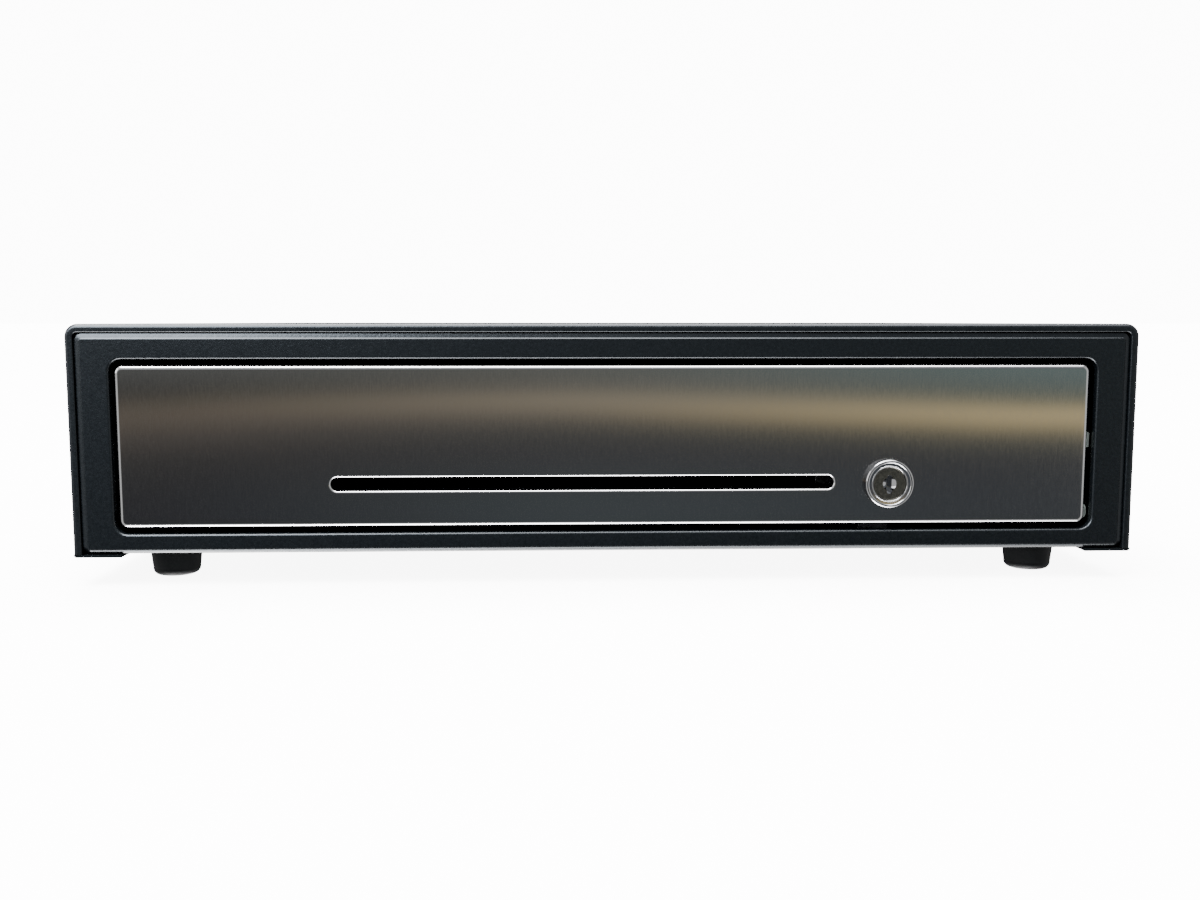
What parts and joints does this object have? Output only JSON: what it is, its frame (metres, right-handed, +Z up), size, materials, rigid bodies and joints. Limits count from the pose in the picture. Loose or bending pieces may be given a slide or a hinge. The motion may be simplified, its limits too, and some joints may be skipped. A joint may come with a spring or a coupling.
{
  "type": "cash drawer",
  "caption": "Flat steel till case on rubber feet; a brushed drawer front with a media slot and key lock slides out on ball slides over a till with bill clips and coin cups.",
  "frame": {"origin": "middle of the bounding box, at the height of the feet's soles", "axes": "+X to the right seen from the front, +Y from the front to the back, +Z up"},
  "size_m": [0.41, 0.419, 0.1],
  "materials": {
    "black_powder_coat": "fine-textured satin powder coat",
    "brushed_stainless": "vertical brushed grain",
    "lock_chrome": "polished",
    "zinc_plated_steel": "bright zinc plate",
    "foot_rubber": "matte",
    "black_abs": "fine moulded texture",
    "white_nylon": "satin",
    "coil_tape": "wrapped tape",
    "lead_jacket": "satin vinyl"
  },
  "bodies": {
    "case": {"top_cover": "black_powder_coat", "front_frame": "black_powder_coat", "base_plate": "black_powder_coat", "rear_panel": "black_powder_coat", "left_rail_bracket": "black_powder_coat", "right_rail_bracket": "black_powder_coat", "foot_front_left": "foot_rubber", "foot_front_right": "foot_rubber", "foot_rear_left": "foot_rubber", "foot_rear_right": "foot_rubber", "foot_screw_front_left": "zinc_plated_steel", "foot_screw_front_right": "zinc_plated_steel", "foot_screw_rear_left": "zinc_plated_steel", "foot_screw_rear_right": "zinc_plated_steel", "rear_screw_upper_left": "zinc_plated_steel", "rear_screw_upper_right": "zinc_plated_steel", "rear_screw_lower_left": "zinc_plated_steel", "rear_screw_lower_right": "zinc_plated_steel", "left_slide_outer": "zinc_plated_steel", "right_slide_outer": "zinc_plated_steel", "lock_keeper": "zinc_plated_steel", "latch_bracket": "zinc_plated_steel", "latch_pivot_pin": "zinc_plated_steel", "latch_spring": "zinc_plated_steel", "solenoid_frame": "zinc_plated_steel", "solenoid_coil": "coil_tape", "drawer_switch": "black_abs", "eject_guide": "white_nylon", "eject_spring": "zinc_plated_steel", "signal_jack": "black_abs", "signal_lead": "lead_jacket"},
    "drawer": {"drawer_box": "black_powder_coat", "front_panel": "brushed_stainless", "left_slide_inner": "zinc_plated_steel", "right_slide_inner": "zinc_plated_steel", "lock_housing": "lock_chrome", "lock_nut": "zinc_plated_steel", "rod_bushing": "white_nylon", "till_tray": "black_abs", "coin_tray": "black_abs", "clip_shaft": "zinc_plated_steel", "striker": "zinc_plated_steel"},
    "left_slide_outer_cage": {"left_slide_outer_cage": "zinc_plated_steel"},
    "left_slide_middle": {"left_slide_middle": "zinc_plated_steel"},
    "left_slide_inner_cage": {"left_slide_inner_cage": "zinc_plated_steel"},
    "right_slide_outer_cage": {"right_slide_outer_cage": "zinc_plated_steel"},
    "right_slide_middle": {"right_slide_middle": "zinc_plated_steel"},
    "right_slide_inner_cage": {"right_slide_inner_cage": "zinc_plated_steel"},
    "key_barrel": {"lock_plug": "lock_chrome", "lock_cam": "zinc_plated_steel", "lock_rod": "zinc_plated_steel"},
    "latch_hook": {"latch_hook": "zinc_plated_steel"},
    "solenoid_plunger": {"solenoid_plunger": "zinc_plated_steel"},
    "switch_lever": {"switch_lever": "zinc_plated_steel"},
    "eject_cap": {"eject_cap": "black_abs"},
    "bill_clip_1": {"bill_clip_1": "black_abs"},
    "bill_clip_2": {"bill_clip_2": "black_abs"},
    "bill_clip_3": {"bill_clip_3": "black_abs"},
    "bill_clip_4": {"bill_clip_4": "black_abs"},
    "bill_clip_5": {"bill_clip_5": "black_abs"}
  },
  "joints": [
    {"name": "drawer_slide", "type": "slide", "parent": "case", "child": "drawer", "axis": [0, -1, 0], "range_m": [0, 0.32]},
    {"name": "left_middle_slide", "type": "slide", "parent": "case", "child": "left_slide_middle", "axis": [0, -1, 0], "range_m": [0, 0.16]},
    {"name": "left_outer_cage_slide", "type": "slide", "parent": "case", "child": "left_slide_outer_cage", "axis": [0, -1, 0], "range_m": [0, 0.08]},
    {"name": "left_inner_cage_slide", "type": "slide", "parent": "case", "child": "left_slide_inner_cage", "axis": [0, -1, 0], "range_m": [0, 0.24]},
    {"name": "right_middle_slide", "type": "slide", "parent": "case", "child": "right_slide_middle", "axis": [0, -1, 0], "range_m": [0, 0.16]},
    {"name": "right_outer_cage_slide", "type": "slide", "parent": "case", "child": "right_slide_outer_cage", "axis": [0, -1, 0], "range_m": [0, 0.08]},
    {"name": "right_inner_cage_slide", "type": "slide", "parent": "case", "child": "right_slide_inner_cage", "axis": [0, -1, 0], "range_m": [0, 0.24]},
    {"name": "key_turn", "type": "hinge", "parent": "drawer", "child": "key_barrel", "pos_m": [0.108, -0.2, 0.0385], "axis": [0, 1, 0], "range_deg": [-90, 90]},
    {"name": "latch_swing", "type": "hinge", "parent": "case", "child": "latch_hook", "pos_m": [0.078, 0.182, 0.039], "axis": [0, 0, 1], "range_deg": [0, 20], "deforming": ["latch_spring"]},
    {"name": "plunger_slide", "type": "slide", "parent": "case", "child": "solenoid_plunger", "axis": [1, 0, 0], "range_m": [-0.005, 0]},
    {"name": "switch_swing", "type": "hinge", "parent": "case", "child": "switch_lever", "pos_m": [0.046, 0.19125, 0.0385], "axis": [0, 0, 1], "range_deg": [-14, 0]},
    {"name": "eject_push", "type": "slide", "parent": "case", "child": "eject_cap", "axis": [0, 1, 0], "range_m": [0, 0.008], "stiffness_N_per_m": 300, "springref_m": -0.02, "deforming": ["eject_spring"]},
    {"name": "bill_clip_1_lift", "type": "hinge", "parent": "drawer", "child": "bill_clip_1", "pos_m": [-0.13976, 0.136, 0.068], "axis": [-1, 0, 0], "range_deg": [0, 36], "stiffness_Nm_per_rad": 0.02, "springref_deg": -28.65},
    {"name": "bill_clip_2_lift", "type": "hinge", "parent": "drawer", "child": "bill_clip_2", "pos_m": [-0.06988, 0.136, 0.068], "axis": [-1, 0, 0], "range_deg": [0, 36], "stiffness_Nm_per_rad": 0.02, "springref_deg": -28.65},
    {"name": "bill_clip_3_lift", "type": "hinge", "parent": "drawer", "child": "bill_clip_3", "pos_m": [0, 0.136, 0.068], "axis": [-1, 0, 0], "range_deg": [0, 36], "stiffness_Nm_per_rad": 0.02, "springref_deg": -28.65},
    {"name": "bill_clip_4_lift", "type": "hinge", "parent": "drawer", "child": "bill_clip_4", "pos_m": [0.06988, 0.136, 0.068], "axis": [-1, 0, 0], "range_deg": [0, 36], "stiffness_Nm_per_rad": 0.02, "springref_deg": -28.65},
    {"name": "bill_clip_5_lift", "type": "hinge", "parent": "drawer", "child": "bill_clip_5", "pos_m": [0.13976, 0.136, 0.068], "axis": [-1, 0, 0], "range_deg": [0, 36], "stiffness_Nm_per_rad": 0.02, "springref_deg": -28.65}
  ],
  "couplings": [
    {"joint": "left_middle_slide", "follows": "drawer_slide", "ratio": 0.5},
    {"joint": "left_outer_cage_slide", "follows": "drawer_slide", "ratio": 0.25},
    {"joint": "left_inner_cage_slide", "follows": "drawer_slide", "ratio": 0.75},
    {"joint": "right_middle_slide", "follows": "drawer_slide", "ratio": 0.5},
    {"joint": "right_outer_cage_slide", "follows": "drawer_slide", "ratio": 0.25},
    {"joint": "right_inner_cage_slide", "follows": "drawer_slide", "ratio": 0.75},
    {"joint": "plunger_slide", "follows": "latch_swing", "m_per_rad": -0.014},
    {"joint": "switch_swing", "follows": "latch_swing", "ratio": -0.667}
  ]
}
